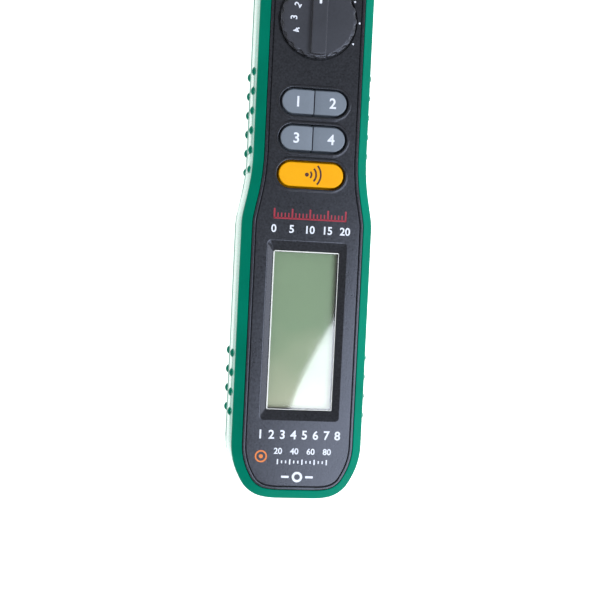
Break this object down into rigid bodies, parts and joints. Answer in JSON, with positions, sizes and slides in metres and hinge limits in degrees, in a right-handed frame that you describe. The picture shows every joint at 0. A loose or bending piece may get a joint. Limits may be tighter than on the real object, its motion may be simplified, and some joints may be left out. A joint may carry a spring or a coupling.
{
  "type": "pen multimeter",
  "caption": "Pen-shaped digital multimeter with a recessed display, pill keys, a rotary knob, a finger guard, a probe tip and a rear lead socket.",
  "frame": {"origin": "middle of the footprint, on the plane that the back lies on", "axes": "+Y along the pen towards the probe tip, +Z out of the face, +X to the right of the face"},
  "size_m": [0.0392, 0.208, 0.029],
  "materials": {
    "green_casing": "satin moulded",
    "dark_plastic": "fine satin",
    "grey_key": "satin",
    "yellow_key": "satin",
    "clear_pane": "clear",
    "lcd": "smooth",
    "black_plastic": "matte",
    "grey_elastomer": "matte",
    "white_plastic": "smooth",
    "steel": "plated",
    "copper": "bright",
    "brass": "bright",
    "green_board": "solder mask",
    "tan_parts": "smooth",
    "clear_glass": "clear",
    "red_plastic": "smooth",
    "red_lens": "clear tinted",
    "cell_jacket": "smooth"
  },
  "bodies": {
    "casing": {"front_frame": "green_casing", "rear_shell": "green_casing", "face_plate": "dark_plastic", "nose_cone": "dark_plastic", "window_pane": "clear_pane", "lcd_glass": "lcd", "lcd_holder": "black_plastic", "contact_strips": "grey_elastomer", "key_switches": "black_plastic", "snap_domes": "steel", "detent_ring": "white_plastic", "main_board": "green_board", "board_screws": "steel", "meter_chip": "black_plastic", "board_parts": "tan_parts", "buzzer": "black_plastic", "fuse_glass": "clear_glass", "fuse_caps": "steel", "fuse_clips": "brass", "current_shunt": "copper", "sensing_plate": "copper", "sensing_lamp": "red_lens", "case_screws": "steel", "battery_cells": "cell_jacket", "cell_springs": "steel", "cell_plates": "steel", "socket_insulator": "black_plastic", "socket_contact": "brass", "probe_pin": "brass", "tip_sleeve": "red_plastic", "probe_tab": "brass"},
    "knob": {"function_knob": "dark_plastic", "knob_screw": "steel", "wiper_rotor": "white_plastic", "wiper_contacts": "copper", "detent_balls": "steel", "detent_springs": "steel"},
    "cover": {"battery_cover": "green_casing", "cover_screw": "steel"},
    "range_key_cap": {"range_key": "grey_key"},
    "hold_key_cap": {"hold_key": "grey_key"},
    "max_key_cap": {"max_key": "grey_key"},
    "function_key_cap": {"function_key": "grey_key"},
    "sensing_key_cap": {"sensing_key": "yellow_key"}
  },
  "joints": [
    {"name": "range_key_press", "type": "slide", "parent": "casing", "child": "range_key_cap", "axis": [0, 0, -1], "range_m": [0, 0.0005], "stiffness_N_per_m": 1500},
    {"name": "hold_key_press", "type": "slide", "parent": "casing", "child": "hold_key_cap", "axis": [0, 0, -1], "range_m": [0, 0.0005], "stiffness_N_per_m": 1500},
    {"name": "max_key_press", "type": "slide", "parent": "casing", "child": "max_key_cap", "axis": [0, 0, -1], "range_m": [0, 0.0005], "stiffness_N_per_m": 1500},
    {"name": "function_key_press", "type": "slide", "parent": "casing", "child": "function_key_cap", "axis": [0, 0, -1], "range_m": [0, 0.0005], "stiffness_N_per_m": 1500},
    {"name": "sensing_key_press", "type": "slide", "parent": "casing", "child": "sensing_key_cap", "axis": [0, 0, -1], "range_m": [0, 0.0005], "stiffness_N_per_m": 1500},
    {"name": "knob_turn", "type": "hinge", "parent": "casing", "child": "knob", "pos_m": [0, 0.03, 0.0255], "axis": [0, 0, 1], "range_deg": [-120, 0]},
    {"name": "cover_lift", "type": "slide", "parent": "casing", "child": "cover", "axis": [0, 0, -1], "range_m": [0, 0.02]}
  ]
}
